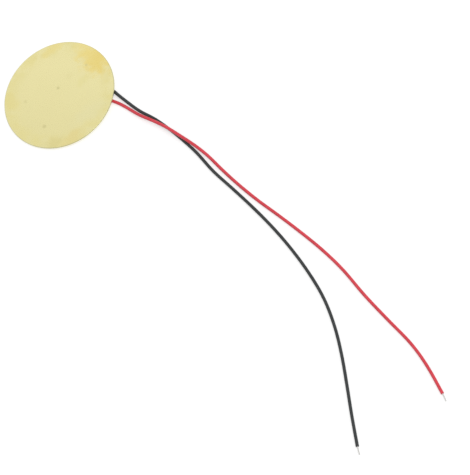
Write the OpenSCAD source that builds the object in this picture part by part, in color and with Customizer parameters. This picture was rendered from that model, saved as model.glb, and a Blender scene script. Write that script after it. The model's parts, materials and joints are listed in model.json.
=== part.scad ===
// Piezo disc with two soldered leads.
// A thin piezoelectric wafer, silvered on both faces, is bonded to one face of a brass plate.
// The black lead is soldered to the bare brass around the wafer, the red lead to the wafer's
// outer silver. The disc lies brass face up, as it comes to rest: on one side of the wafer's
// edge and on its two solder joints. Millimetres, floor at z = 0, the plate's centre over the
// origin.

/* [Brass plate] */
// Diameter of the plate
plate_d = 27; // [18:0.5:41]
// Thickness of the plate
plate_t = 0.3; // [0.15:0.05:0.6]
// Radius that the punch rolls onto the edge of the bare face
roll_r = 0.1; // [0.02:0.01:0.14]

/* [Wafer] */
// Width of the ring of bare brass around the wafer
brass_margin = 3.5; // [3.2:0.1:6]
// Thickness of the ceramic
wafer_t = 0.2; // [0.1:0.01:0.3]
// Width of the ring of bare ceramic around the outer electrode
ceramic_margin = 0.8; // [0.3:0.1:1.5]
// Thickness of each silver electrode
silver_t = 0.01; // [0.005:0.001:0.02]
// Thickness of the adhesive between plate and wafer
bond_t = 0.02; // [0.01:0.005:0.04]
// Width of the bead of adhesive pressed out around the wafer
bead_w = 0.14; // [0.05:0.01:0.2]

/* [Solder joints] */
// Height of the joint on the brass, which sets how far the disc leans
black_joint_h = 1.3; // [1.15:0.05:1.8]
// Radius of each joint's foot
foot_r = 1.3; // [1.2:0.05:1.4]
// Thickness of the thin edge of a joint's foot
foot_t = 0.03; // [0.02:0.01:0.05]
// Radius of the domed top of each joint
dome_r = 0.85; // [0.8:0.01:0.95]
// Radius of the solder that climbs the wire, at its root in the dome
wick_r = 0.34; // [0.3:0.01:0.38]
// Reach of that solder along the wire, from the middle of the joint
wick_l = 1.65; // [1.5:0.05:1.8]
// Direction of the black joint, seen from the middle of the plate
black_joint_az = -29; // [-31:1:-26]
// Direction of the red joint, seen from the middle of the plate
red_joint_az = -37; // [-41:1:-35]
// Gap between the red joint's foot and the edge of the silver
red_inset = 0.1; // [0.05:0.05:0.4]

/* [Leads] */
// Outer diameter of the insulation
lead_d = 0.75; // [0.6:0.05:0.9]
// Diameter of the twisted strands
strand_d = 0.32; // [0.26:0.02:0.4]
// Length of the stripped and tinned end
tip_l = 2.2; // [1:0.2:6]
// Length of wire that reaches past the middle of each joint
root_in = 0.4; // [0.2:0.05:0.5]
// Bare wire left between a joint's foot and the black insulation
black_bare = 0.5; // [0.3:0.1:0.8]
// Gap between the wafer's edge and the red insulation
red_bare = 0.3; // [0.2:0.1:0.6]
// Straight stretch of insulation that leaves each joint
straight = 2.2; // [1.6:0.1:2.4]
// Direction in which the black lead leaves its joint
black_out_az = -78; // [-81:1:-75]
// Direction in which the red lead leaves its joint
red_out_az = -58; // [-60:1:-56]
// Height of the black lead's underside over the floor where it leaves its joint
black_lift = 0.3; // [0.2:0.05:0.4]
// Height of the red lead's underside over the floor where it leaves its joint
red_lift = 0.04; // [0.02:0.01:0.06]
// Gap between the leads where the red one passes over the black one
cross_gap = 0.12; // [0.05:0.01:0.2]

/* [Hidden] */
$fn = 96;

plate_r = plate_d / 2;
wafer_r = plate_r - brass_margin;
silver_r = wafer_r - ceramic_margin;
lead_r = lead_d / 2;
strand_r = strand_d / 2;

// Depths below the plate's underside
silver_z = bond_t;
wafer_z = silver_z + silver_t;
pad_z = wafer_z + wafer_t;
stack_t = pad_z + silver_t;

// The side of the plate that the joints hold up
lean_az = -33;

// Middle of each joint on the plate
black_joint_r = plate_r - brass_margin / 2;
red_joint_r = silver_r - red_inset - foot_r;
black_joint = black_joint_r * [cos(black_joint_az), sin(black_joint_az)];
red_joint = red_joint_r * [cos(red_joint_az), sin(red_joint_az)];

// Distance of a joint from the middle of the plate, along the lean
function reach(r, az) = r * cos(az - lean_az);

// Edges that can meet the floor on the low side, each with its radius and its depth: the
// plate's, the wafer's and the outer silver's
feet = [[plate_r, 0], [wafer_r, pad_z], [silver_r, stack_t]];

// The lean at which one of them and the black dome both touch the floor
function lean_on(foot) =
    let (a = foot[0] + reach(black_joint_r, black_joint_az),
         b = black_joint_h - dome_r - foot[1])
    atan2(b, a) + asin(dome_r / norm([a, b]));

// The disc stops at the edge that touches first
lean = min([for (foot = feet) lean_on(foot)]);
rest_h = max([for (foot = feet) foot[0] * sin(lean) + foot[1] * cos(lean)]);

// The red joint's height, with its dome on the floor too
red_rise = rest_h + reach(red_joint_r, red_joint_az) * sin(lean);
red_joint_h = dome_r + (red_rise - dome_r) / cos(lean) - stack_t;

// A point of the flat-lying disc, moved to where it is on the leaning one
function leaned(p) =
    let (along = p.x * cos(lean_az) + p.y * sin(lean_az),
         across = p.y * cos(lean_az) - p.x * sin(lean_az),
         run = along * cos(lean) - p.z * sin(lean))
    [run * cos(lean_az) - across * sin(lean_az),
     run * sin(lean_az) + across * cos(lean_az),
     rest_h + along * sin(lean) + p.z * cos(lean)];

function heading(az) = [cos(az), sin(az), 0];

// Where each wire crosses the axis of its joint
function wire_at(joint, depth, lift) =
    let (p = leaned([joint.x, joint.y, -depth]))
    [p.x, p.y, lead_r + lift];
black_wire = wire_at(black_joint, 0, black_lift);
red_wire = wire_at(red_joint, stack_t, red_lift);

// Distance from a point inside a circle to the circle, along a heading
function way_out(p, az, r) =
    let (dot = p.x * cos(az) + p.y * sin(az))
    sqrt(dot * dot - p.x * p.x - p.y * p.y + r * r) - dot;

// Length of wire between the middle of each joint and the insulation
black_root_l = foot_r + black_bare;
red_root_l = way_out(red_wire, red_out_az, wafer_r + red_bare);

// The routes start at the joints. Their other points are measured from the place on the rim
// that the leads pass under. The third number is the height of the lead's underside.
gate_az = -47;
gate = plate_r * heading(gate_az);
over = lead_d + cross_gap;

black_route = [
    [2.7, -2.8, 0.1], [3.7, -6.3, 0.02], [5.2, -9.5, 0], [6.5, -13.6, 0],
    [7.7, -18.6, 0], [8.7, -24.0, 0], [9.3, -30.6, 0], [10.5, -37.0, 0],
    [11.8, -44.4, 0], [12.8, -51.6, 0], [13.4, -59.0, 0], [13.5, -67.0, 0],
    [12.9, -75.0, 0], [11.2, -82.6, 0], [8.8, -89.6, 0], [5.9, -96.6, 0],
    [2.8, -103.8, 0], [-0.2, -111.2, 0]];
red_route = [
    [0.9, -1.2, 0.05], [1.8, -3.5, 0.1], [3.0, -7.0, over - 0.47], [4.8, -10.7, over],
    [6.4, -14.1, over], [7.7, -17.8, over], [9.0, -21.6, over - 0.09],
    [10.3, -26.1, over - 0.67],
    [11.1, -31.4, 0], [12.1, -37.0, 0], [13.6, -43.6, 0], [15.3, -49.6, 0],
    [17.0, -56.0, 0], [18.8, -63.6, 0], [20.1, -71.6, 0], [20.7, -80.4, 0],
    [21.7, -89.0, 0], [22.8, -97.6, 0], [22.8, -104.8, 0], [22.0, -112.8, 0]];

function lead_points(wire, az, root_l, route) = concat(
    [wire + root_l * heading(az), wire + (root_l + straight) * heading(az)],
    [for (p = route) [gate.x + p.x, gate.y + p.y, lead_r + p.z]]);
black_points = lead_points(black_wire, black_out_az, black_root_l, black_route);
red_points = lead_points(red_wire, red_out_az, red_root_l, red_route);

// Smooth curve through a list of points, kept on or above the floor
steps = 2;
function ease(a, b, c, d, t) =
    b + (c - a) * t / 2 + (2 * a - 5 * b + 4 * c - d) * t * t / 2
    + (3 * b - a - 3 * c + d) * t * t * t / 2;
function laid(p) = [p.x, p.y, max(p.z, lead_r)];
function curve(points) =
    let (last = len(points) - 1,
         ends = concat([2 * points[0] - points[1]], points, [2 * points[last] - points[last - 1]]))
    concat(
        [for (i = [0 : last - 1], k = [0 : steps - 1])
            laid(ease(ends[i], ends[i + 1], ends[i + 2], ends[i + 3], k / steps))],
        [points[last]]);

// Directions along a lead: at its two square-cut ends, and at a ring in between
function unit(v) = v / norm(v);
function head_way(points) = unit(points[1] - points[0]);
function tail_way(points) = let (n = len(points)) unit(points[n - 1] - points[n - 2]);
function way(points, c, i) =
    i == 0 ? head_way(points) : i == len(c) - 1 ? tail_way(points) : unit(c[i + 1] - c[i - 1]);

// Half outline of a domed joint, with a hollow curve down to its thin edge
function arc(centre, r, from, to, n) =
    [for (i = [0 : n]) let (a = from + (to - from) * i / n) centre + r * [cos(a), sin(a)]];
function joint_outline(h) =
    let (rise = h - foot_t,
         sink = rise - dome_r,
         hollow_r = (foot_r * foot_r + sink * sink - dome_r * dome_r) / (2 * rise),
         meet = atan2(hollow_r - sink, foot_r))
    concat(
        [[0, 0], [foot_r, 0]],
        arc([foot_r, foot_t + hollow_r], hollow_r, 270, 180 + meet, 8),
        arc([0, foot_t + sink], dome_r, meet, 90, 12));

// Puts what is modelled on a flat plate, underside at z = 0, where the disc lies
module lie() {
    translate([0, 0, rest_h])
        rotate([0, 0, lean_az])
            rotate([0, -lean, 0])
                rotate([0, 0, -lean_az])
                    children();
}

// Round bar along a level wire, between two distances from the wire's start
module bar(wire, az, from, to, r) {
    translate(wire + from * heading(az))
        rotate([0, 90, az])
            cylinder(h = to - from, r = r);
}

module film(r, depth, t) {
    lie() translate([0, 0, -depth - t]) cylinder(h = t, r = r, $fn = 180);
}

module brass_plate() {
    color([0.88, 0.80, 0.52])
        lie()
            rotate_extrude($fn = 180)
                polygon(concat(
                    [[0, 0], [plate_r, 0]],
                    arc([plate_r - roll_r, plate_t - roll_r], roll_r, 0, 90, 6),
                    [[0, plate_t]]));
}

// Adhesive under the wafer, with its bead around the wafer's edge
module bond_layer() {
    bead_h = wafer_z + bead_w;
    color([0.62, 0.52, 0.34])
        lie()
            mirror([0, 0, 1])
                rotate_extrude($fn = 180)
                    polygon(concat(
                        [[0, 0], [wafer_r + bead_w, 0]],
                        arc([wafer_r + bead_w, bead_h], bead_w, 270, 180, 6),
                        [[wafer_r, bond_t], [0, bond_t]]));
}

module lower_electrode() {
    color([0.78, 0.78, 0.76]) film(wafer_r, silver_z, silver_t);
}

module ceramic_wafer() {
    color([0.90, 0.87, 0.78]) film(wafer_r, wafer_z, wafer_t);
}

module upper_electrode() {
    color([0.80, 0.80, 0.79]) film(silver_r, pad_z, silver_t);
}

// Solder that climbs the wire, thinning towards its end
module wick(wire, az) {
    start = dome_r * 0.7;
    outline = [for (i = [0 : 8]) let (u = i / 8)
        [strand_r + 0.02 + (wick_r - strand_r) * (1 - u) * (1 - u), start + (wick_l - start) * u]];
    translate(wire)
        rotate([0, 90, az])
            rotate_extrude($fn = 48)
                polygon(concat([[0, 0], [outline[0].x, 0]], outline, [[0, wick_l]]));
}

// A joint hangs from its pad and holds the end of the wire
module solder_joint(joint, depth, h, wire, az, root_l) {
    color([0.75, 0.76, 0.78])
        difference() {
            union() {
                lie()
                    translate([joint.x, joint.y, -depth])
                        mirror([0, 0, 1])
                            rotate_extrude($fn = 72)
                                polygon(joint_outline(h));
                wick(wire, az);
            }
            lie() translate([0, 0, -depth]) cylinder(h = plate_t + depth, r = plate_r);
            bar(wire, az, -root_in, root_l, strand_r);
        }
}

module black_solder_joint() {
    solder_joint(black_joint, 0, black_joint_h, black_wire, black_out_az, black_root_l);
}

module red_solder_joint() {
    solder_joint(red_joint, stack_t, red_joint_h, red_wire, red_out_az, red_root_l);
}

module black_root_strands() {
    color([0.74, 0.73, 0.70]) bar(black_wire, black_out_az, -root_in, black_root_l, strand_r);
}

module red_root_strands() {
    color([0.74, 0.73, 0.70]) bar(red_wire, red_out_az, -root_in, red_root_l, strand_r);
}

// Insulated lead, swept along the curve with a flat of its eight sides on the floor
module lead(points) {
    sides = 8;
    corner_r = lead_r / cos(180 / sides);
    c = curve(points);
    n = len(c);
    rings = [for (i = [0 : n - 1])
        let (fore = way(points, c, i),
             left = unit(cross([0, 0, 1], fore)),
             up = cross(fore, left))
        for (k = [0 : sides - 1])
            let (a = (k + 0.5) * 360 / sides)
            c[i] + corner_r * (left * cos(a) + up * sin(a))];
    walls = [for (i = [0 : n - 2], k = [0 : sides - 1])
        let (a = i * sides + k, b = i * sides + (k + 1) % sides)
        [a, a + sides, b + sides, b]];
    caps = [[for (k = [0 : sides - 1]) k],
            [for (k = [sides - 1 : -1 : 0]) (n - 1) * sides + k]];
    polyhedron(rings, concat(walls, caps), convexity = 10);
}

module black_lead() {
    color([0.13, 0.14, 0.14]) lead(black_points);
}

module red_lead() {
    color([0.80, 0.12, 0.15]) lead(red_points);
}

// Stripped strands, tinned to a stiff round end
module tinned_end(points) {
    way_on = tail_way(points);
    color([0.78, 0.78, 0.77])
        bar(points[len(points) - 1], atan2(way_on.y, way_on.x), 0, tip_l, strand_r);
}

module black_tinned_end() {
    tinned_end(black_points);
}

module red_tinned_end() {
    tinned_end(red_points);
}

brass_plate();
bond_layer();
lower_electrode();
ceramic_wafer();
upper_electrode();
black_solder_joint();
red_solder_joint();
black_root_strands();
red_root_strands();
black_lead();
red_lead();
black_tinned_end();
red_tinned_end();
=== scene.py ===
import json
import math

import bpy
from mathutils import Matrix, Vector, kdtree

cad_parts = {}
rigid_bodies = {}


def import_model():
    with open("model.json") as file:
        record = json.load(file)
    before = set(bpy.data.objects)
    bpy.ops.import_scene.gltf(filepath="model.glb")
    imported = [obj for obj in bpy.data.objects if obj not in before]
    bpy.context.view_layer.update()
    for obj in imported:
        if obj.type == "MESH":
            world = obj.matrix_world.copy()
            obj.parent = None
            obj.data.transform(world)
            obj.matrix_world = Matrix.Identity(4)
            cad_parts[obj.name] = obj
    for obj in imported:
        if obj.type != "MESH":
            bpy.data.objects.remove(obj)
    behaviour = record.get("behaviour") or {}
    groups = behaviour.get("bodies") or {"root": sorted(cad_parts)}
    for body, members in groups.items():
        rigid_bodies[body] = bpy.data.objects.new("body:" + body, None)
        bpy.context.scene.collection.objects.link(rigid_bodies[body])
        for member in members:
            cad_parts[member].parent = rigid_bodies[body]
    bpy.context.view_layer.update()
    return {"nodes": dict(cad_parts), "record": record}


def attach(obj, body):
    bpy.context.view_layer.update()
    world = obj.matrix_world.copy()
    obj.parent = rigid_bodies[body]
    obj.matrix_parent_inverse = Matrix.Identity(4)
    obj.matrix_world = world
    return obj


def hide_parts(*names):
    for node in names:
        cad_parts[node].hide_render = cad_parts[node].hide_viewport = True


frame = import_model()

# Small pieces are modelled in millimetres, and shrunk to metres when they are finished.
MM = 0.001

nodes = frame["nodes"]
mounts = {mount["name"]: mount for mount in frame["record"]["mounts"]}


# ---------------------------------------------------------------- camera

VIEW_RISE = math.radians(58.5)
VIEW_ROLL = math.radians(35.5)
VIEW_DISTANCE = 2.0
FRAME_HEIGHT = 0.10887
AIM_RIGHT = 0.04025
AIM_DOWN = 0.03264
AIM_HEIGHT = 0.00085

sight = Vector((0, math.cos(VIEW_RISE), -math.sin(VIEW_RISE)))
level = Vector((1, 0, 0))
upright = Vector((0, math.sin(VIEW_RISE), math.cos(VIEW_RISE)))
to_right = level * math.cos(VIEW_ROLL) - upright * math.sin(VIEW_ROLL)
to_top = level * math.sin(VIEW_ROLL) + upright * math.cos(VIEW_ROLL)
aim = Vector((0, 0, AIM_HEIGHT)) + AIM_RIGHT * to_right - AIM_DOWN * to_top

camera_data = bpy.data.cameras.new("camera")
camera_data.lens = camera_data.sensor_width * VIEW_DISTANCE / FRAME_HEIGHT
camera_data.clip_start = 0.1
camera_data.clip_end = 20
camera = bpy.data.objects.new("camera", camera_data)
bpy.context.scene.collection.objects.link(camera)
turn = Matrix((to_right, to_top, -sight)).transposed().to_4x4()
camera.matrix_world = Matrix.Translation(aim - VIEW_DISTANCE * sight) @ turn
bpy.context.scene.camera = camera
bpy.context.scene.view_settings.view_transform = "Standard"


# ---------------------------------------------------------------- sizes from the frame

PLATE_T = 0.3
NEAR = 0.001

face_way = Vector(mounts["brass_face"]["axis"]).normalized()
face_middle = Vector(mounts["brass_face"]["pos_m"]) / MM
lean_turn = Vector((0, 0, 1)).rotation_difference(face_way)

# From the flat-lying disc, its underside at height 0, to where it leans, in millimetres
lie = Matrix.Translation(face_middle - PLATE_T * face_way) @ lean_turn.to_matrix().to_4x4()
lie_back = lie.inverted()


def flat_points(node):
    """A CAD node's vertices on the flat-lying disc, in millimetres."""
    return [lie_back @ (vertex.co / MM) for vertex in nodes[node].data.vertices]


def middle_of(points):
    """The middle of the box round some points."""
    return Vector([(min(p[i] for p in points) + max(p[i] for p in points)) / 2 for i in range(3)])


def radius_of(node):
    """How far a CAD node reaches from the disc's middle."""
    return max(math.hypot(p.x, p.y) for p in flat_points(node))


def depth_of(node):
    """How far a CAD node reaches below the plate."""
    return -min(p.z for p in flat_points(node))


plate_r = radius_of("brass_plate")
wafer_r = radius_of("ceramic_wafer")
silver_r = radius_of("upper_electrode")
pad_depth = depth_of("ceramic_wafer")
silver_depth = depth_of("upper_electrode")


def foot_middle(node, depth):
    """The middle of a solder joint's foot on the flat-lying disc."""
    foot = [p for p in flat_points(node) if p.z > -depth - NEAR]
    return middle_of(foot)


black_foot = foot_middle("black_solder_joint", 0)
red_foot = foot_middle("red_solder_joint", silver_depth)


def heading(azimuth):
    """The level direction at an angle from +X."""
    return Vector((math.cos(math.radians(azimuth)), math.sin(math.radians(azimuth)), 0))


def wire_ends(node, azimuth):
    """The middles of a straight bar's two end faces, in millimetres."""
    points = [vertex.co / MM for vertex in nodes[node].data.vertices]
    reach = [p.dot(heading(azimuth)) for p in points]
    inner = [p for p, r in zip(points, reach) if r < min(reach) + NEAR]
    outer = [p for p, r in zip(points, reach) if r > max(reach) - NEAR]
    return middle_of(inner), middle_of(outer)


BLACK_OUT = -78
RED_OUT = -58
black_root = wire_ends("black_root_strands", BLACK_OUT)
red_root = wire_ends("red_root_strands", RED_OUT)


# ---------------------------------------------------------------- routes of the leads

# Sizes in millimetres, as in part.scad
LEAD_R = 0.375
STRAND_R = 0.16
TIP_L = 2.2
STRAIGHT = 2.2
OVER = 0.87
GATE = plate_r * heading(-47)

# How far apart a lead's points are, and how many times its bends are eased
SPACING = 0.36
EASING = 24
LEAD_SIDES = 28

# The routes in part.scad, in millimetres from GATE, a point on the plate's rim. The third
# number is the height of the lead's underside, which is OVER where red passes over black.
BLACK_ROUTE = [
    (2.7, -2.8, 0.1), (3.7, -6.3, 0.02), (5.2, -9.5, 0), (6.5, -13.6, 0),
    (7.7, -18.6, 0), (8.7, -24.0, 0), (9.3, -30.6, 0), (10.5, -37.0, 0),
    (11.8, -44.4, 0), (12.8, -51.6, 0), (13.4, -59.0, 0), (13.5, -67.0, 0),
    (12.9, -75.0, 0), (11.2, -82.6, 0), (8.8, -89.6, 0), (5.9, -96.6, 0),
    (2.8, -103.8, 0), (-0.2, -111.2, 0),
]
RED_ROUTE = [
    (0.9, -1.2, 0.05), (1.8, -3.5, 0.1), (3.0, -7.0, OVER - 0.47), (4.8, -10.7, OVER),
    (6.4, -14.1, OVER), (7.7, -17.8, OVER), (9.0, -21.6, OVER - 0.09), (10.3, -26.1, OVER - 0.67),
    (11.1, -31.4, 0), (12.1, -37.0, 0), (13.6, -43.6, 0), (15.3, -49.6, 0),
    (17.0, -56.0, 0), (18.8, -63.6, 0), (20.1, -71.6, 0), (20.7, -80.4, 0),
    (21.7, -89.0, 0), (22.8, -97.6, 0), (22.8, -104.8, 0), (22.0, -112.8, 0),
]


def route_points(root, azimuth, route):
    """The route of a lead in millimetres, from the end of its bare root to its own end."""
    start = [root[1], root[1] + STRAIGHT * heading(azimuth)]
    return start + [Vector((GATE.x + x, GATE.y + y, LEAD_R + z)) for x, y, z in route]


def eased(a, b, c, d, t):
    """A point between b and c of a smooth curve through a, b, c and d."""
    bend = (2 * a - 5 * b + 4 * c - d) * t * t / 2
    return b + (c - a) * t / 2 + bend + (3 * b - a - 3 * c + d) * t * t * t / 2


def smooth_line(points):
    """Points close together on the smooth curve through a route, kept on the floor."""
    ends = [2 * points[0] - points[1]] + points + [2 * points[-1] - points[-2]]
    line = []
    for a, b, c, d in zip(ends, ends[1:], ends[2:], ends[3:]):
        steps = max(2, round((c - b).length / SPACING))
        line += [eased(a, b, c, d, step / steps) for step in range(steps)]
    line.append(points[-1])
    return [Vector((p.x, p.y, max(p.z, LEAD_R))) for p in line]


def relaxed(line):
    """A line with its bends made gentler, its two ends kept."""
    hold = 5
    for _ in range(EASING):
        middle = [(a + 2 * b + c) / 4 for a, b, c in zip(line, line[1:], line[2:])]
        line = line[:hold] + middle[hold - 1:1 - hold] + line[-hold:]
    return line


def lengths_along(line):
    """How far along a line each of its points is."""
    found = [0.0]
    for a, b in zip(line, line[1:]):
        found.append(found[-1] + (b - a).length)
    return found


black_line = relaxed(smooth_line(route_points(black_root, BLACK_OUT, BLACK_ROUTE)))
red_line = relaxed(smooth_line(route_points(red_root, RED_OUT, RED_ROUTE)))


# ---------------------------------------------------------------- modelling helpers

def make_active(piece):
    """Selects a piece and nothing else."""
    bpy.ops.object.select_all(action="DESELECT")
    piece.select_set(True)
    bpy.context.view_layer.objects.active = piece


def edit_all(piece):
    """Goes into edit mode on a piece, with all of it selected."""
    make_active(piece)
    bpy.ops.object.mode_set(mode="EDIT")
    bpy.ops.mesh.select_all(action="SELECT")


def edit_picked(piece, kind, test):
    """Goes into edit mode on a piece, with the vertices, edges or faces that pass a test selected."""
    make_active(piece)
    bpy.ops.object.mode_set(mode="EDIT")
    bpy.ops.mesh.select_mode(type=kind)
    bpy.ops.mesh.select_all(action="DESELECT")
    bpy.ops.object.mode_set(mode="OBJECT")
    parts = {"VERT": piece.data.vertices, "EDGE": piece.data.edges, "FACE": piece.data.polygons}
    for part in parts[kind]:
        part.select = bool(test(part))
    bpy.ops.object.mode_set(mode="EDIT")


def end_edit():
    """Goes back to object mode."""
    bpy.ops.object.mode_set(mode="OBJECT")


def ramp(value, low, high):
    """A share from 0 to 1 as a value goes from low to high."""
    return min(1, max(0, (value - low) / (high - low)))


def apply_modifier(piece, kind, **settings):
    """Adds a modifier with its settings, and applies it."""
    make_active(piece)
    modifier = piece.modifiers.new(kind.lower(), kind)
    for key, value in settings.items():
        setattr(modifier, key, value)
    bpy.ops.object.modifier_apply(modifier=modifier.name)


def joined(name, pieces):
    """Joins pieces into one mesh."""
    make_active(pieces[0])
    for piece in pieces:
        piece.select_set(True)
    bpy.ops.object.join()
    pieces[0].name = name
    pieces[0].data.name = name
    return pieces[0]


FINE_GAP = 0.0001


def tidy_shell(piece, gap=0.0005):
    """Merges doubles and turns the faces outwards."""
    edit_all(piece)
    bpy.ops.mesh.remove_doubles(threshold=gap)
    bpy.ops.mesh.normals_make_consistent(inside=False)
    end_edit()


def drop_hollows(piece):
    """Keeps the outer shell of a remeshed piece, and deletes any closed hollow inside it."""
    outmost = max(piece.data.vertices, key=lambda vertex: vertex.co.x).index
    edit_picked(piece, "VERT", lambda vertex: vertex.index == outmost)
    bpy.ops.mesh.select_linked()
    bpy.ops.mesh.select_all(action="INVERT")
    bpy.ops.mesh.delete(type="VERT")
    end_edit()


def to_metres(piece):
    """Shrinks a finished piece from millimetres, with its place in its mesh."""
    make_active(piece)
    piece.scale = (MM, MM, MM)
    bpy.ops.object.transform_apply(location=True, rotation=True, scale=True)


def shade_smooth(piece, angle=None):
    """Shades a piece smooth, but for edges sharper than an angle in degrees."""
    make_active(piece)
    if angle is None:
        bpy.ops.object.shade_smooth()
    else:
        bpy.ops.object.shade_smooth_by_angle(angle=math.radians(angle))


def tube(name, lines, sides, radii=None, radius=1.0):
    """A mesh of round tubes along lines, closed at both ends."""
    curve = bpy.data.curves.new(name, "CURVE")
    curve.dimensions = "3D"
    curve.bevel_depth = radius
    curve.bevel_resolution = (sides - 4) // 2
    curve.use_fill_caps = True
    for line in lines:
        spline = curve.splines.new("POLY")
        spline.points.add(len(line) - 1)
        for i, place in enumerate(line):
            spline.points[i].co = (*place, 1)
            spline.points[i].radius = radii[i] if radii else 1.0
    piece = bpy.data.objects.new(name, curve)
    bpy.context.scene.collection.objects.link(piece)
    make_active(piece)
    bpy.ops.object.convert(target="MESH")
    piece = bpy.context.view_layer.objects.active
    tidy_shell(piece)
    return piece


def spun(name, outline, steps):
    """A closed shape spun from an outline of (radius, height) points."""
    bpy.ops.mesh.primitive_plane_add(size=1)
    piece = bpy.context.view_layer.objects.active
    piece.name = name
    piece.data.name = name
    edit_all(piece)
    bpy.ops.mesh.delete(type="EDGE_FACE")
    bpy.ops.mesh.select_mode(type="VERT")
    bpy.ops.mesh.select_all(action="SELECT")
    bpy.ops.mesh.merge(type="CENTER")
    end_edit()
    piece.data.vertices[0].co = (outline[0][0], 0, outline[0][1])
    for (r0, h0), (r1, h1) in zip(outline, outline[1:]):
        bpy.ops.object.mode_set(mode="EDIT")
        bpy.ops.mesh.extrude_vertices_move(TRANSFORM_OT_translate={"value": (r1 - r0, 0, h1 - h0)})
        end_edit()
    edit_all(piece)
    bpy.ops.mesh.spin(
        steps=steps, angle=math.tau, center=(0, 0, 0), axis=(0, 0, 1), use_auto_merge=True)
    end_edit()
    tidy_shell(piece, FINE_GAP)
    return piece


# ---------------------------------------------------------------- leads

def straight_map(piece, line):
    """Stores where each vertex would be if the lead were pulled straight, in millimetres."""
    far = lengths_along(line)
    tree = kdtree.KDTree(len(line))
    for i, place in enumerate(line):
        tree.insert(place, i)
    tree.balance()
    places = []
    for vertex in piece.data.vertices:
        i = tree.find(vertex.co)[1]
        way = (line[min(i + 1, len(line) - 1)] - line[max(i - 1, 0)]).normalized()
        aside = Vector((0, 0, 1)).cross(way).normalized()
        off = vertex.co - line[i]
        places += [far[i] + off.dot(way), off.dot(aside), off.dot(way.cross(aside))]
    piece.data.attributes.new("straight", "FLOAT_VECTOR", "POINT").data.foreach_set("vector", places)


def end_way(line, end):
    """The direction in which a line runs out at its end, 0 or -1."""
    return (line[0] - line[1] if end == 0 else line[-1] - line[-2]).normalized()


def insulation(name, line, radii):
    """The insulation of a lead, its two ends cut square and open round the strands."""
    off_floor = 0.006
    strand_gap = 0.025
    open_depth = 0.55
    cut_edge = 0.028
    line = [Vector((p.x, p.y, max(p.z, r * LEAD_R + off_floor))) for p, r in zip(line, radii)]
    piece = tube(name, [line], LEAD_SIDES, radii, LEAD_R)
    for end in (0, -1):
        edit_picked(piece, "FACE", lambda face: len(face.vertices) > 4
                    and (face.center - line[end]).length < 0.1)
        bpy.ops.mesh.inset(thickness=radii[end] * LEAD_R - STRAND_R - strand_gap)
        bpy.ops.mesh.extrude_region_move(
            TRANSFORM_OT_translate={"value": -open_depth * end_way(line, end)})
        end_edit()
    edit_picked(piece, "EDGE", lambda edge: False)
    bpy.ops.mesh.edges_select_sharp(sharpness=math.radians(50))
    bpy.ops.mesh.bevel(offset=cut_edge, segments=3, profile=0.5)
    end_edit()
    straight_map(piece, line)
    shade_smooth(piece, 40)
    return piece


def hump(s, middle, width):
    """1 at the middle of a smooth hump, and near 0 past its width."""
    return math.exp(-((s - middle) / width) ** 2)


def lead_radii(line, seed):
    """A lead's thickness along its line: uneven by a hundredth, and swollen by the soldering."""
    far = lengths_along(line)
    whole = far[-1]
    found = []
    for s in far:
        ripple = 0.006 * math.sin(s / 3.7 + seed) + 0.005 * math.sin(s / 1.3 + 2 * seed)
        hot = 0.07 * hump(s, 0.75, 0.55) - 0.10 * hump(s, 0, 0.28)
        pulled = 0.03 * hump(s, whole, 0.5)
        found.append(1 + ripple + hot + pulled)
    return found


black_wire = insulation("black_wire", black_line, lead_radii(black_line, 0.4))
red_wire = insulation("red_wire", red_line, lead_radii(red_line, 2.1))


# ---------------------------------------------------------------- strands

# LAY is the length of one turn of the twist, and BUNDLE_IN how far strands run into a lead.
STRAND_COUNT = 7
WIRE_R = STRAND_R / 3
LAY = 2.6
BUNDLE_IN = 0.45


def twisted_strands(name, start, way, length, bend, turn, fray=()):
    """Seven tinned strands in a twist, with the solder that fills between them.

    bend moves the far end aside, and fray says how much shorter each strand is cut.
    """
    way = way.normalized()
    aside = Vector((0, 0, 1)).cross(way).normalized()
    above = way.cross(aside)
    steps = round(length / 0.1)

    def middle(s):
        share = s / length
        return start + way * s + bend * share * share

    lines = []
    for k in range(STRAND_COUNT):
        short = fray[k] if fray else 0
        line = []
        for step in range(steps + 1):
            s = (length - short) * step / steps
            angle = turn + math.tau * (s / LAY + k / (STRAND_COUNT - 1))
            off = (STRAND_R - WIRE_R) * (aside * math.cos(angle) + above * math.sin(angle))
            line.append(middle(s) + (off if k < STRAND_COUNT - 1 else Vector()))
        lines.append(line)
    piece = tube(name, lines, 12, radius=WIRE_R)
    apply_modifier(piece, "REMESH", mode="VOXEL", voxel_size=0.013)
    drop_hollows(piece)
    apply_modifier(piece, "SMOOTH", factor=0.5, iterations=4)
    shade_smooth(piece)
    return piece


def root_strands(name, root, way, turn):
    """The strands from inside a solder joint to inside their lead."""
    length = (root[1] - root[0]).length + BUNDLE_IN
    return twisted_strands(name, root[0], way, length, Vector(), turn)


def tip_strands(name, line, bend, turn, fray):
    """The strands that stick out of a lead's far end."""
    way = end_way(line, -1)
    return twisted_strands(name, line[-1] - BUNDLE_IN * way, way, TIP_L + BUNDLE_IN, bend, turn, fray)


black_way = heading(BLACK_OUT)
red_way = heading(RED_OUT)
black_roots = root_strands("black_roots", black_root, black_way, 0.4)
red_roots = root_strands("red_roots", red_root, red_way, 1.1)
black_tip = tip_strands(
    "black_tip", black_line, Vector((0.16, 0, -0.04)), 0.2, (0.02, 0.09, 0.0, 0.05, 0.12, 0.03, 0.06))
red_tip = tip_strands(
    "red_tip", red_line, Vector((-0.14, 0, 0.05)), 0.9, (0.08, 0.02, 0.05, 0.0, 0.04, 0.11, 0.03))


# ---------------------------------------------------------------- solder joints

# The wick thins from THROAT_R, at THROAT_AT from the joint's middle, to its end at WICK_L.
DOME_R = 0.85
FOOT_R = 1.3
FOOT_SUNK = 0.25
OFF_FLOOR = 0.012
THROAT_R = 0.405
THROAT_AT = 0.5
WICK_L = 1.65


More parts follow.
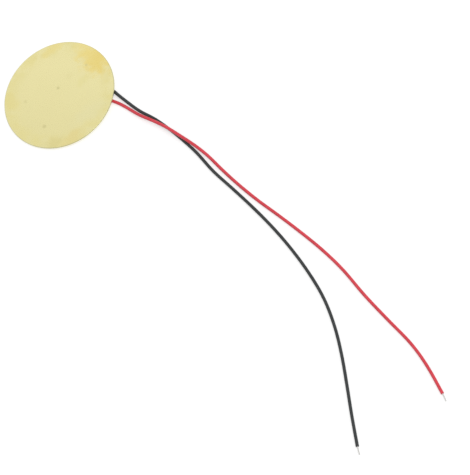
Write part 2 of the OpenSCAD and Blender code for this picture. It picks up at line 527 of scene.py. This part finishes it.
def arc(x, y, r, first, last, count):
    """Points along an arc from a first to a last angle in degrees."""
    turns = [math.radians(first + (last - first) * i / count) for i in range(count + 1)]
    return [(x + r * math.cos(a), y + r * math.sin(a)) for a in turns]


def joint_outline(height):
    """Half outline of a joint from over its foot to its top, as (radius, depth)."""
    sink = height - DOME_R
    hollow = (FOOT_R ** 2 + sink ** 2 - DOME_R ** 2) / (2 * height)
    meet = math.degrees(math.atan2(hollow - sink, FOOT_R))
    foot = [(0, -FOOT_SUNK), (FOOT_R + 0.02, -FOOT_SUNK)]
    flank = arc(FOOT_R, hollow, hollow, 270, 180 + meet, 10)
    return foot + flank + arc(0, sink, DOME_R, meet, 90, 14)


def uneven(name, size, detail):
    """A soft cloud that a modifier can push a surface by."""
    cloud = bpy.data.textures.new(name, "CLOUDS")
    cloud.noise_scale = size
    cloud.noise_depth = detail
    return cloud


def displace(piece, texture, strength, mid_level=0.5, direction="NORMAL", group=""):
    """Pushes a surface in and out by a texture."""
    apply_modifier(piece, "DISPLACE", texture=texture, texture_coords="LOCAL", direction=direction,
                   mid_level=mid_level, strength=strength, vertex_group=group)


def soft_fillet(piece, middle, way):
    """Smooths the solder where its wick runs out of the dome."""
    group = piece.vertex_groups.new(name="throat")
    for v in piece.data.vertices:
        along = (v.co - middle).dot(way)
        away = (v.co - middle - along * way).length
        share = ramp(along, 0, 0.2) * ramp(along, 1.25, 0.9) * ramp(away, 0.62, 0.5)
        group.add([v.index], share, "REPLACE")
    apply_modifier(piece, "SMOOTH", factor=0.5, iterations=70, vertex_group="throat")


def solder(name, foot, depth, root, way):
    """Solder that wets its pad, stands up in a dome and climbs a little way along the wire."""
    outline = [(r, -z) for r, z in joint_outline(depth_of(name) - depth - OFF_FLOOR)]
    dome = spun("dome", outline, 72)
    dome.data.transform(lie @ Matrix.Translation((foot.x, foot.y, -depth)))
    middle = root[0] + 0.4 * way
    thin = STRAND_R + 0.015
    steps = 24
    shares = [i / steps for i in range(steps + 1)]
    line = [middle + way * (THROAT_AT + (WICK_L - THROAT_AT) * share) for share in shares]
    radii = [thin + (THROAT_R - thin) * (1 - share) ** 2.2 for share in shares]
    wick = tube("wick", [line], 28, radii, 1.0)
    inside = tube("inside", [[middle - 0.42 * way, line[0]]], 24, None, STRAND_R + 0.02)
    piece = joined(name.replace("_joint", ""), [dome, wick, inside])
    apply_modifier(piece, "REMESH", mode="VOXEL", voxel_size=0.026)
    displace(piece, uneven("run", 1.1, 1), 0.05)
    apply_modifier(piece, "SMOOTH", factor=0.5, iterations=20)
    soft_fillet(piece, middle, way)
    edit_all(piece)
    bpy.ops.mesh.bisect(
        plane_co=lie @ Vector((0, 0, -depth)), plane_no=face_way, use_fill=True, clear_outer=True)
    end_edit()
    tidy_shell(piece, FINE_GAP)
    shade_smooth(piece, 50)
    return piece


black_solder = solder("black_solder_joint", black_foot, 0, black_root, black_way)
red_solder = solder("red_solder_joint", red_foot, silver_depth, red_root, red_way)


# ---------------------------------------------------------------- adhesive

def adhesive():
    """The adhesive under the wafer, with the uneven bead that squeezed out round it."""
    bead_w = 0.15
    foot = 0.155
    inner = wafer_r - 0.04
    film = 0.021
    outline = [(0, 0), (wafer_r - 0.6, 0), (wafer_r + 0.02, 0), (wafer_r + bead_w, 0)]
    outline += arc(wafer_r + bead_w + 0.03, -foot - 0.02, foot, 95, 175, 5)
    outline += [(inner, -foot - 0.01), (inner, -film), (0, -film)]
    piece = spun("adhesive", outline, 240)
    free = [v.index for v in piece.data.vertices if v.co.xy.length > wafer_r + 0.015]
    piece.vertex_groups.new(name="bead").add(free, 1, "ADD")
    displace(piece, uneven("squeeze", 1.6, 2), 0.16, 0.45, group="bead")
    piece.data.transform(lie)
    shade_smooth(piece, 40)
    return piece


bead = adhesive()


# ---------------------------------------------------------------- ceramic and silver

def chips(name, size, detail, low, high):
    """A texture that is black but for scattered soft spots."""
    spots = uneven(name, size, detail)
    spots.use_color_ramp = True
    spots.color_ramp.elements[0].position = low
    spots.color_ramp.elements[1].position = high
    for stop, grey in zip(spots.color_ramp.elements, (0, 1)):
        stop.color = (grey, grey, grey, 1)
    return spots


def wafer():
    """The ceramic wafer, its edge sharp but for the small chips that cutting leaves."""
    top = depth_of("lower_electrode")
    low = pad_depth
    soft = 0.012
    outline = [(0, -top), (wafer_r - 0.4, -top), (wafer_r - soft, -top), (wafer_r, -top - soft)]
    outline += [(wafer_r, -top - (low - top) * share) for share in (0.3, 0.55, 0.75)]
    outline += [(wafer_r, -low + soft)]
    outline += [(wafer_r - inwards, -low) for inwards in (soft, 0.05, 0.11, 0.2, 0.6)] + [(0, -low)]
    piece = spun("wafer", outline, 720)
    group = piece.vertex_groups.new(name="edge")
    for v in piece.data.vertices:
        share = ramp(v.co.xy.length, wafer_r - 0.15, wafer_r - 0.05) * ramp(-v.co.z, top, top + 0.12)
        group.add([v.index], share, "REPLACE")
    displace(piece, chips("chipped", 0.42, 2, 0.60, 0.74), -0.07, 0, group="edge")
    piece.data.transform(lie)
    shade_smooth(piece, 35)
    return piece


def printed_silver():
    """The outer silver, screen-printed, so its edge wanders a little."""
    thick = silver_depth - pad_depth
    bpy.ops.mesh.primitive_circle_add(
        vertices=540, radius=silver_r, fill_type="NGON", location=(0, 0, 0))
    piece = bpy.context.view_layer.objects.active
    piece.name = "printed_silver"
    piece.data.name = "printed_silver"
    for way in ("X", "Y"):
        displace(piece, uneven("wander" + way, 0.7, 2), 0.13, direction=way)
        displace(piece, uneven("mesh_step" + way, 0.16, 1), 0.05, direction=way)
    edit_all(piece)
    bpy.ops.mesh.inset(thickness=0.25)
    bpy.ops.mesh.select_all(action="SELECT")
    bpy.ops.mesh.extrude_region_move(TRANSFORM_OT_translate={"value": (0, 0, -thick)})
    end_edit()
    tidy_shell(piece, FINE_GAP)
    rim = {v.index for v in piece.data.vertices
           if v.co.z < -thick / 2 and v.co.xy.length > silver_r - 0.12}
    edit_picked(piece, "EDGE", lambda edge: rim.issuperset(edge.vertices))
    bpy.ops.mesh.bevel(offset=0.004, segments=2, profile=0.5)
    end_edit()
    piece.data.transform(lie @ Matrix.Translation((0, 0, -pad_depth)))
    shade_smooth(piece, 35)
    return piece


wafer_body = wafer()
outer_silver = printed_silver()

for piece in (wafer_body, outer_silver, black_wire, red_wire, black_roots, red_roots,
              black_tip, red_tip, black_solder, red_solder, bead):
    to_metres(piece)


# ---------------------------------------------------------------- what each piece stands for

def stand_for(piece, node):
    """Puts a new piece in the place of a CAD node."""
    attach(piece, "root")
    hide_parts(node)


stand_for(black_wire, "black_lead")
stand_for(red_wire, "red_lead")
stand_for(black_tip, "black_tinned_end")
stand_for(red_tip, "red_tinned_end")
stand_for(black_roots, "black_root_strands")
stand_for(red_roots, "red_root_strands")
stand_for(black_solder, "black_solder_joint")
stand_for(red_solder, "red_solder_joint")
stand_for(bead, "bond_layer")
stand_for(wafer_body, "ceramic_wafer")
stand_for(outer_silver, "upper_electrode")


# ---------------------------------------------------------------- shader helpers

def put(tree, kind, inputs=None, **settings):
    """Adds a shader node. Inputs are given by name or number, as values or as sockets to link."""
    node = tree.nodes.new("ShaderNode" + kind)
    for key, value in settings.items():
        setattr(node, key, value)
    for key, value in (inputs or {}).items():
        if isinstance(value, bpy.types.NodeSocket):
            tree.links.new(value, node.inputs[key])
        else:
            node.inputs[key].default_value = value
    return node


def sums(tree, operation, a, b=0.0):
    """One arithmetic step on two values."""
    return put(tree, "Math", {0: a, 1: b}, operation=operation).outputs[0]


def between(tree, value, low, high, out_low=0.0, out_high=1.0):
    """A smooth step from out_low to out_high as a value goes from low to high."""
    limits = {"Value": value, "From Min": low, "From Max": high, "To Min": out_low, "To Max": out_high}
    return put(tree, "MapRange", limits, interpolation_type="SMOOTHSTEP").outputs[0]


def mixed(tree, share, a, b):
    """Colour a, changing to b where share is 1."""
    colours = [(*c, 1) if isinstance(c, tuple) else c for c in (a, b)]
    return put(tree, "Mix", {0: share, 6: colours[0], 7: colours[1]}, data_type="RGBA").outputs[2]


def tinted(tree, colour, mask, weight, tint):
    """A colour that turns by a weight towards a tint where a mask is 1."""
    return mixed(tree, sums(tree, "MULTIPLY", mask, weight), colour, tint)


def noise(tree, place, scale, detail):
    """A soft noise, by how many of it go to a millimetre."""
    return put(tree, "TexNoise", {"Vector": place, "Scale": scale, "Detail": detail}).outputs[0]


def new_group(name, inputs, outputs):
    """A shader node group, with its inputs' starting values and its outputs' kinds."""
    tree = bpy.data.node_groups.new(name, "ShaderNodeTree")
    for label, value in inputs.items():
        kind = "NodeSocketVector" if isinstance(value, tuple) else "NodeSocketFloat"
        tree.interface.new_socket(label, in_out="INPUT", socket_type=kind).default_value = value
    for label, kind in outputs.items():
        tree.interface.new_socket(label, in_out="OUTPUT", socket_type="NodeSocket" + kind)
    return tree, tree.nodes.new("NodeGroupInput").outputs, tree.nodes.new("NodeGroupOutput").inputs


def use(tree, group, inputs):
    """Places a node group in a material."""
    return put(tree, "Group", inputs, node_tree=bpy.data.node_groups[group]).outputs


def masked(tree, group, place, **inputs):
    """The mask that a node group makes at a place."""
    return use(tree, group, {"Place": place, **inputs})["Mask"]


def cloud_group():
    """Soft uneven areas of a size in millimetres."""
    tree, given, made = new_group(
        "Cloud", {"Place": (0.0, 0.0, 0.0), "Size": 1.0, "Detail": 3.0, "Low": 0.35, "High": 0.65},
        {"Mask": "Float"})
    scale = sums(tree, "DIVIDE", 1.0, given["Size"])
    cloud = noise(tree, given["Place"], scale, given["Detail"])
    tree.links.new(between(tree, cloud, given["Low"], given["High"]), made["Mask"])


def specks_group():
    """Scattered specks: their spacing in millimetres, their reach, and how many places have one."""
    tree, given, made = new_group(
        "Specks", {"Place": (0.0, 0.0, 0.0), "Spacing": 1.0, "Reach": 0.2, "Share": 0.5},
        {"Mask": "Float"})
    scale = sums(tree, "DIVIDE", 1.0, given["Spacing"])
    cells = put(tree, "TexVoronoi", {"Vector": given["Place"], "Scale": scale})
    kind = put(tree, "SeparateColor", {0: cells.outputs["Color"]})
    reach = sums(tree, "MULTIPLY", given["Reach"], kind.outputs[1])
    spot = between(tree, cells.outputs["Distance"], sums(tree, "MULTIPLY", reach, 0.5), reach, 1.0, 0.0)
    chosen = sums(tree, "LESS_THAN", kind.outputs[0], given["Share"])
    tree.links.new(sums(tree, "MULTIPLY", spot, chosen), made["Mask"])


def patch_group():
    """A soft ragged patch at a place."""
    tree, given, made = new_group(
        "Patch", {"Place": (0.0, 0.0, 0.0), "Middle": (0.0, 0.0, 0.0), "Stretch": (1.0, 1.0, 1.0),
                  "Reach": 1.0, "Ragged": 0.3}, {"Mask": "Float"})
    off = put(tree, "VectorMath", {0: given["Place"], 1: given["Middle"]}, operation="SUBTRACT")
    off = put(tree, "VectorMath", {0: off.outputs[0], 1: given["Stretch"]}, operation="DIVIDE")
    length = put(tree, "VectorMath", {0: off.outputs[0]}, operation="LENGTH").outputs["Value"]
    cloud = noise(tree, given["Place"], 0.7, 3.0)
    push = sums(tree, "MULTIPLY", sums(tree, "SUBTRACT", cloud, 0.5), given["Ragged"])
    far = sums(tree, "ADD", sums(tree, "DIVIDE", length, given["Reach"]), push)
    tree.links.new(between(tree, far, 0.25, 1.0, 1.0, 0.0), made["Mask"])


def scratches_group():
    """Thin marks along a direction, their length and width in millimetres."""
    tree, given, made = new_group(
        "Scratches", {"Place": (0.0, 0.0, 0.0), "Turn": (0.0, 0.0, 0.0), "Length": 5.0, "Width": 0.1,
                      "Share": 0.4}, {"Mask": "Float"})
    turned = put(tree, "VectorRotate", {"Vector": given["Place"], "Rotation": given["Turn"]},
                 rotation_type="EULER_XYZ")
    size = put(tree, "CombineXYZ", {0: given["Length"], 1: given["Width"], 2: given["Length"]})
    squeezed = put(tree, "VectorMath", {0: turned.outputs[0], 1: size.outputs[0]}, operation="DIVIDE")
    cells = put(tree, "TexVoronoi", {"Vector": squeezed.outputs[0], "Scale": 1.0})
    kind = put(tree, "SeparateColor", {0: cells.outputs["Color"]})
    line = between(tree, cells.outputs["Distance"], 0.05, 0.32, 1.0, 0.0)
    chosen = sums(tree, "LESS_THAN", kind.outputs[0], given["Share"])
    tree.links.new(sums(tree, "MULTIPLY", line, chosen), made["Mask"])


def on_disc_group():
    """Where a point is on the flat-lying disc, in millimetres, and how far from its middle."""
    tree, given, made = new_group(
        "On_Disc", {"Object": (0.0, 0.0, 0.0)}, {"Place": "Vector", "Radius": "Float", "Turn": "Float"})
    place = put(tree, "Mapping", {"Vector": given["Object"], "Location": lie.to_translation() * MM,
                                  "Rotation": lie.to_euler(), "Scale": (MM, MM, MM)},
                vector_type="TEXTURE").outputs[0]
    parts = put(tree, "SeparateXYZ", {0: place})
    flat = put(tree, "CombineXYZ", {0: parts.outputs[0], 1: parts.outputs[1]})
    radius = put(tree, "VectorMath", {0: flat.outputs[0]}, operation="LENGTH").outputs["Value"]
    tree.links.new(place, made["Place"])
    tree.links.new(radius, made["Radius"])
    tree.links.new(sums(tree, "ARCTAN2", parts.outputs[1], parts.outputs[0]), made["Turn"])


for make_group in (cloud_group, specks_group, patch_group, scratches_group, on_disc_group):
    make_group()


def new_finish(name, **values):
    """A material with one Principled shader, its even values set on the shader's own sockets."""
    material = bpy.data.materials.new(name)
    material.use_nodes = True
    tree = material.node_tree
    tree.nodes.clear()
    shader = put(tree, "BsdfPrincipled")
    for key, value in values.items():
        shader.inputs[key.replace("_", " ")].default_value = value
    put(tree, "OutputMaterial", {"Surface": shader.outputs[0]})
    return material, tree, shader.inputs


def object_millimetres(tree):
    """Object coordinates in millimetres."""
    where = put(tree, "TexCoord").outputs["Object"]
    return put(tree, "Mapping", {"Vector": where, "Scale": (1 / MM,) * 3}).outputs[0]


def disc_place(tree):
    """Where a point is on the flat-lying disc."""
    return use(tree, "On_Disc", {"Object": put(tree, "TexCoord").outputs["Object"]})


def bumped(tree, height, depth, strength=1.0, onto=None):
    """A normal for a height from 0 to 1 that stands for a depth in millimetres."""
    given = {"Height": height, "Distance": depth * MM, "Strength": strength}
    if onto is not None:
        given["Normal"] = onto
    return put(tree, "Bump", given).outputs[0]


# ---------------------------------------------------------------- brass

# Tarnished areas of the face: middle and stretch on the flat-lying disc, reach in
# millimetres, strength and colour
TARNISH = (
    ((11.9, 2.2, 0.3), (0.9, 1.15, 1.0), 5.6, 0.95, (0.815, 0.657, 0.215)),
    ((10.9, 5.6, 0.3), (1.0, 1.3, 1.0), 3.6, 0.5, (0.845, 0.715, 0.28)),
    ((5.0, 11.2, 0.3), (1.7, 0.7, 1.0), 2.4, 0.7, (0.82, 0.70, 0.28)),
    ((-1.3, 11.9, 0.3), (1.5, 0.6, 1.0), 2.2, 0.6, (0.79, 0.71, 0.32)),
    ((-9.9, 6.6, 0.3), (0.8, 1.3, 1.0), 3.0, 0.75, (0.775, 0.69, 0.30)),
    ((-3.6, -11.8, 0.3), (1.5, 0.8, 1.0), 3.0, 0.8, (0.765, 0.66, 0.288)),
    ((-7.4, -9.8, 0.3), (1.2, 0.8, 1.0), 2.6, 0.8, (0.715, 0.64, 0.288)),
    ((6.5, -0.8, 0.3), (1.6, 0.7, 1.0), 2.0, 0.5, (0.78, 0.71, 0.325)),
    ((4.4, 2.5, 0.3), (1.0, 1.0, 1.0), 1.2, 0.5, (0.775, 0.71, 0.36)),
    ((3.6, -8.8, 0.3), (2.2, 0.9, 1.0), 3.0, 0.6, (0.775, 0.725, 0.40)),
)
# Small dull spots: middle, reach and strength
SPOTS = (
    ((0.7, 1.65, 0.3), 0.62, 0.7),
    ((-7.0, -4.6, 0.3), 0.7, 0.7),
    ((-7.2, 4.1, 0.3), 0.65, 0.35),
    ((9.05, 2.1, 0.3), 0.5, 0.45),
)
ROLLED_WAY = 0.5


def brass_colour(tree, place, radius, height):
    """Even in the middle but for a painted reflection that leaves one side paler; yellower and patchy
    towards the edge, stained by flux underneath, and with painted shade on the rolled rim.
    """
    # Painted reflection: a straight gradient makes the face paler towards one side, standing in for
    # brighter surroundings mirrored there; the soft cloud added to it is the brass's own uneven tone.
    painted_reflection_across = put(tree, "VectorMath", {0: place, 1: (0.72, 0.69, 0)}, operation="DOT_PRODUCT")
    painted_reflection_across = between(tree, painted_reflection_across.outputs["Value"], -15.0, 14.0)
    soft = masked(tree, "Cloud", place, Size=6.0, Low=0.3, High=0.7)
    pale = sums(tree, "ADD", painted_reflection_across, sums(tree, "MULTIPLY", soft, 0.16))
    colour = mixed(tree, pale, (0.768, 0.704, 0.360), (0.822, 0.754, 0.395))

    ring = between(tree, radius, plate_r - 4.2, plate_r - 1.2)
    blotches = masked(tree, "Cloud", place, Size=2.6, Low=0.32, High=0.62)
    blotches = sums(tree, "MULTIPLY", blotches, 0.75)
    colour = tinted(tree, colour, ring, blotches, (0.768, 0.690, 0.312))
    for middle, stretch, reach, share, tint in TARNISH:
        spot = masked(tree, "Patch", place, Middle=middle, Stretch=stretch, Reach=reach, Ragged=1.1)
        colour = tinted(tree, colour, spot, share, tint)
    for middle, reach, share in SPOTS:
        spot = masked(tree, "Patch", place, Middle=middle, Reach=reach, Ragged=0.6)
        colour = tinted(tree, colour, spot, share, (0.61, 0.555, 0.27))
    dull = masked(tree, "Specks", place, Spacing=2.1, Reach=0.17, Share=0.22)
    colour = tinted(tree, colour, dull, 0.22, (0.60, 0.55, 0.30))
    fleck = masked(tree, "Specks", place, Spacing=0.8, Reach=0.1, Share=0.08)
    colour = tinted(tree, colour, fleck, 0.3, (0.52, 0.44, 0.20))

    underside = sums(tree, "LESS_THAN", height, 0.02)
    flux = masked(tree, "Patch", place, Middle=tuple(black_foot), Reach=2.7, Ragged=0.9)
    flux = sums(tree, "MULTIPLY", flux, underside)
    colour = tinted(tree, colour, flux, 0.75, (0.55, 0.38, 0.15))
    # Painted shade: the rolled rim on the face side is tinted dark grey-green, a painted outline standing
    # in for the darker surroundings that the rim mirrors.
    painted_rim_shade = between(tree, radius, plate_r - 0.13, plate_r - 0.03)
    painted_rim_shade = sums(tree, "MULTIPLY", painted_rim_shade, sums(tree, "GREATER_THAN", height, PLATE_T - 0.08))
    return tinted(tree, colour, painted_rim_shade, 0.75, (0.46, 0.47, 0.27))


def brass_normal(tree, place, disc, height, marks):
    """A soft swell, the grain of rolling, fine marks, and the sheared wall of the edge."""
    grain_place = put(
        tree, "Mapping", {"Vector": place, "Rotation": (0, 0, ROLLED_WAY), "Scale": (0.4, 9.0, 9.0)})
    grain = noise(tree, grain_place.outputs[0], 2.0, 4.0)
    swell = noise(tree, place, 0.22, 1.0)
    normal = bumped(tree, swell, 0.03)
    normal = bumped(tree, grain, 0.0006, onto=normal)
    normal = bumped(tree, marks, 0.0007, onto=normal)
    round_way = sums(tree, "MULTIPLY", disc["Turn"], plate_r * 16)
    wall_place = put(tree, "CombineXYZ", {0: round_way, 1: sums(tree, "MULTIPLY", height, 2.0)})
    shear = noise(tree, wall_place.outputs[0], 1.0, 3.0)
    wall = sums(tree, "GREATER_THAN", disc["Radius"], plate_r - 0.012)
    return bumped(tree, sums(tree, "MULTIPLY", shear, wall), 0.012, onto=normal)


def brass():
    """Rolled brass sheet, a little tarnished."""
    material, tree, shader = new_finish("brass_sheet", Metallic=1.0)
    disc = disc_place(tree)
    place = disc["Place"]
    height = put(tree, "SeparateXYZ", {0: place}).outputs[2]
    tree.links.new(brass_colour(tree, place, disc["Radius"], height), shader["Base Color"])

    worn = masked(tree, "Cloud", place, Size=4.0, Detail=5.0)
    scuffs = masked(tree, "Scratches", place, Turn=(0, 0, ROLLED_WAY), Length=4.0, Width=0.10)
    cross = masked(tree, "Scratches", place, Turn=(0, 0, 2.0), Length=2.6, Width=0.08, Share=0.25)
    marks = sums(tree, "MAXIMUM", scuffs, cross)
    rough = sums(tree, "ADD", sums(tree, "MULTIPLY", worn, 0.05), sums(tree, "MULTIPLY", marks, 0.07))
    tree.links.new(sums(tree, "ADD", rough, 0.24), shader["Roughness"])
    tree.links.new(brass_normal(tree, place, disc, height, marks), shader["Normal"])
    return material


# ---------------------------------------------------------------- ceramic, silver and adhesive

def ceramic():
    """Unglazed piezo ceramic, cream and matt."""
    material, tree, shader = new_finish("cream_ceramic", Roughness=0.62)
    place = disc_place(tree)["Place"]
    colour = mixed(tree, masked(tree, "Cloud", place, Size=1.4),
                   (0.70, 0.60, 0.40), (0.76, 0.67, 0.48))
    pores = masked(tree, "Specks", place, Spacing=0.22, Reach=0.3, Share=0.3)
    tree.links.new(tinted(tree, colour, pores, 0.35, (0.46, 0.39, 0.27)), shader["Base Color"])
    sand = noise(tree, place, 22.0, 4.0)
    tree.links.new(bumped(tree, sand, 0.006), shader["Normal"])
    return material


def fired_silver():
    """Screen-printed silver, fired to a matt pale film that yellows round the solder."""
    material, tree, shader = new_finish("matt_silver", Metallic=1.0)
    place = disc_place(tree)["Place"]
    colour = mixed(tree, masked(tree, "Cloud", place, Size=3.0, Detail=5.0),
                   (0.73, 0.72, 0.69), (0.80, 0.79, 0.76))
    flux = masked(tree, "Patch", place, Middle=tuple(red_foot), Reach=2.9, Ragged=0.9)
    colour = tinted(tree, colour, flux, 0.6, (0.56, 0.46, 0.27))
    dust = masked(tree, "Specks", place, Spacing=1.1, Reach=0.14, Share=0.3)
    tree.links.new(tinted(tree, colour, dust, 0.6, (0.42, 0.39, 0.34)), shader["Base Color"])
    mesh_x = put(tree, "TexWave", {"Vector": place, "Scale": 1.0, "Distortion": 0.4}, bands_direction="X")
    mesh_y = put(tree, "TexWave", {"Vector": place, "Scale": 1.0, "Distortion": 0.4}, bands_direction="Y")
    weave = sums(tree, "MULTIPLY", mesh_x.outputs[1], mesh_y.outputs[1])
    grit = noise(tree, place, 14.0, 4.0)
    rough = sums(tree, "ADD", sums(tree, "MULTIPLY", grit, 0.2), 0.38)
    tree.links.new(rough, shader["Roughness"])
    tree.links.new(bumped(tree, grit, 0.006, onto=bumped(tree, weave, 0.003)), shader["Normal"])
    return material


def amber_adhesive():
    """Cured adhesive, amber, glossy and a little dusty."""
    material, tree, shader = new_finish("amber_adhesive", IOR=1.52)
    place = disc_place(tree)["Place"]
    colour = mixed(tree, masked(tree, "Cloud", place, Size=0.9),
                   (0.34, 0.20, 0.06), (0.50, 0.34, 0.14))
    tree.links.new(colour, shader["Base Color"])
    dust = masked(tree, "Cloud", place, Size=0.3, Detail=4.0)
    tree.links.new(sums(tree, "ADD", sums(tree, "MULTIPLY", dust, 0.25), 0.18), shader["Roughness"])
    tree.links.new(bumped(tree, dust, 0.008), shader["Normal"])
    return material


# ---------------------------------------------------------------- solder and strands

def soldered(name, pale, dark, shine, frost):
    """Tin solder: pale, bright, and frosty where it set slowly."""
    material, tree, shader = new_finish(name, Metallic=1.0)
    place = object_millimetres(tree)
    dull = masked(tree, "Cloud", place, Size=0.5, Detail=4.0)
    colour = mixed(tree, dull, pale, dark)
    flux = masked(tree, "Specks", place, Spacing=0.35, Reach=0.25, Share=0.25)
    tree.links.new(tinted(tree, colour, flux, 0.5, (0.42, 0.35, 0.24)), shader["Base Color"])
    tree.links.new(sums(tree, "ADD", sums(tree, "MULTIPLY", dull, frost), shine), shader["Roughness"])
    crystals = put(tree, "TexVoronoi", {"Vector": place, "Scale": 11.0}).outputs["Distance"]
    ripple = noise(tree, place, 3.0, 2.0)
    tree.links.new(bumped(tree, crystals, 0.004, onto=bumped(tree, ripple, 0.02)), shader["Normal"])
    return material


# ---------------------------------------------------------------- insulation

def soft_plastic(name, pale, deep, specular):
    """Extruded soft plastic: satin, with faint lines along it, a fine orange peel and a little dust."""
    material, tree, shader = new_finish(name, Specular_IOR_Level=specular)
    place = put(tree, "Attribute", attribute_name="straight").outputs["Vector"]
    colour = mixed(tree, masked(tree, "Cloud", place, Size=3.0), pale, deep)
    long_place = put(tree, "Mapping", {"Vector": place, "Scale": (0.05, 5.0, 5.0)}).outputs[0]
    lines = noise(tree, long_place, 2.0, 3.0)
    dust = masked(tree, "Specks", place, Spacing=0.9, Reach=0.12, Share=0.35)
    tree.links.new(tinted(tree, colour, dust, 0.35, (0.55, 0.53, 0.50)), shader["Base Color"])
    worn = masked(tree, "Cloud", place, Size=1.6, Detail=4.0)
    rough = sums(tree, "ADD", sums(tree, "MULTIPLY", worn, 0.12), sums(tree, "MULTIPLY", lines, 0.1))
    tree.links.new(sums(tree, "ADD", rough, 0.26), shader["Roughness"])
    peel = noise(tree, place, 9.0, 3.0)
    tree.links.new(bumped(tree, peel, 0.006, onto=bumped(tree, lines, 0.012)), shader["Normal"])
    return material


def dress(piece, material):
    """Gives a new piece its finish."""
    piece.data.materials.clear()
    piece.data.materials.append(material)


def refinish(node, material):
    """Gives a CAD node that stays a better finish."""
    nodes[node].material_slots[0].material = material


silver_film = fired_silver()
refinish("brass_plate", brass())
refinish("lower_electrode", silver_film)
dress(wafer_body, ceramic())
dress(outer_silver, silver_film)
dress(bead, amber_adhesive())
joint_finish = soldered("bright_solder", (0.74, 0.74, 0.75), (0.60, 0.60, 0.61), 0.16, 0.26)
tinned_finish = soldered("tinned_wire", (0.78, 0.77, 0.75), (0.66, 0.65, 0.63), 0.22, 0.18)
for piece in (black_solder, red_solder):
    dress(piece, joint_finish)
for piece in (black_roots, red_roots, black_tip, red_tip):
    dress(piece, tinned_finish)
dress(black_wire, soft_plastic("black_plastic", (0.017, 0.021, 0.022), (0.024, 0.028, 0.029), 0.45))
dress(red_wire, soft_plastic("red_plastic", (0.675, 0.036, 0.059), (0.605, 0.027, 0.046), 0.6))


# ---------------------------------------------------------------- room, floor and lamps

DIFFUSE_LEVEL = 0.62
MIRRORED_LOW = 0.42
TABLE_MIRRORED = 0.9
GLOW_NEAR = 0.53
GLOW_FAR = 0.665
FLOOR_GREY = (0.55, 0.55, 0.55, 1)
WHITE = (1, 1, 1, 1)
LAMP_TARGET = Vector((0.01, -0.05, 0))


def white_room():
    """White all round: even for plain light, and darker at the horizon where it is mirrored."""
    world = bpy.data.worlds.new("studio")
    bpy.context.scene.world = world
    world.use_nodes = True
    world.cycles.sampling_method = "NONE"
    tree = world.node_tree
    tree.nodes.clear()
    ray = put(tree, "LightPath").outputs
    towards = put(tree, "TexCoord").outputs["Generated"]
    height = put(tree, "SeparateXYZ", {0: towards}).outputs[2]
    over_horizon = between(tree, height, 0.05, 0.55, MIRRORED_LOW, 1.0)
    table = between(tree, height, -0.12, 0.02, TABLE_MIRRORED, MIRRORED_LOW)
    mirrored = sums(tree, "MAXIMUM", over_horizon, table)
    levels = {"Value": ray["Is Glossy Ray"], "To Min": DIFFUSE_LEVEL, "To Max": mirrored}
    plain = put(tree, "MapRange", levels).outputs[0]
    seen = sums(tree, "MAXIMUM", ray["Is Camera Ray"], ray["Is Transmission Ray"])
    strength = put(tree, "MapRange", {"Value": seen, "To Min": plain, "To Max": 1.0}).outputs[0]
    air = put(tree, "Background", {"Color": WHITE, "Strength": strength})
    put(tree, "OutputWorld", {"Surface": air.outputs[0]})


def white_floor():
    """White paper that takes a faint shadow near the object, and can't be seen from below."""
    bpy.ops.mesh.primitive_plane_add(size=8)
    floor = bpy.context.view_layer.objects.active
    floor.name = "floor"
    floor.visible_diffuse = False
    floor.visible_glossy = False
    floor.visible_transmission = False
    finish = bpy.data.materials.new("white_floor")
    finish.use_nodes = True
    tree = finish.node_tree
    tree.nodes.clear()
    paper = put(tree, "BsdfDiffuse", {"Color": FLOOR_GREY})
    place = put(tree, "TexCoord").outputs["Object"]
    from_middle = put(tree, "VectorMath", {0: place}, operation="LENGTH").outputs["Value"]
    level_near = between(tree, from_middle, 0.15, 0.9, GLOW_NEAR, GLOW_FAR)
    glow = put(tree, "Emission", {"Color": WHITE, "Strength": level_near})
    sheet = put(tree, "AddShader", {0: paper.outputs[0], 1: glow.outputs[0]})
    clear = put(tree, "BsdfTransparent")
    below = put(tree, "NewGeometry").outputs["Backfacing"]
    both = put(tree, "MixShader", {0: below, 1: sheet.outputs[0], 2: clear.outputs[0]})
    put(tree, "OutputMaterial", {"Surface": both.outputs[0]})
    dress(floor, finish)


def lamp(name, place, size, power):
    """A soft square lamp that shines on the middle of the object."""
    data = bpy.data.lights.new(name, "AREA")
    data.size = size
    data.energy = power
    light = bpy.data.objects.new(name, data)
    bpy.context.scene.collection.objects.link(light)
    light.location = place
    light.rotation_mode = "QUATERNION"
    light.rotation_quaternion = (LAMP_TARGET - Vector(place)).to_track_quat("-Z", "Y")
    return light


white_room()
white_floor()
key = lamp("key", (0.55, -0.62, 0.95), 1.1, 7.5)
key.visible_glossy = False
lamp("sheen", (0.12, -0.30, 1.05), 0.35, 1.2)
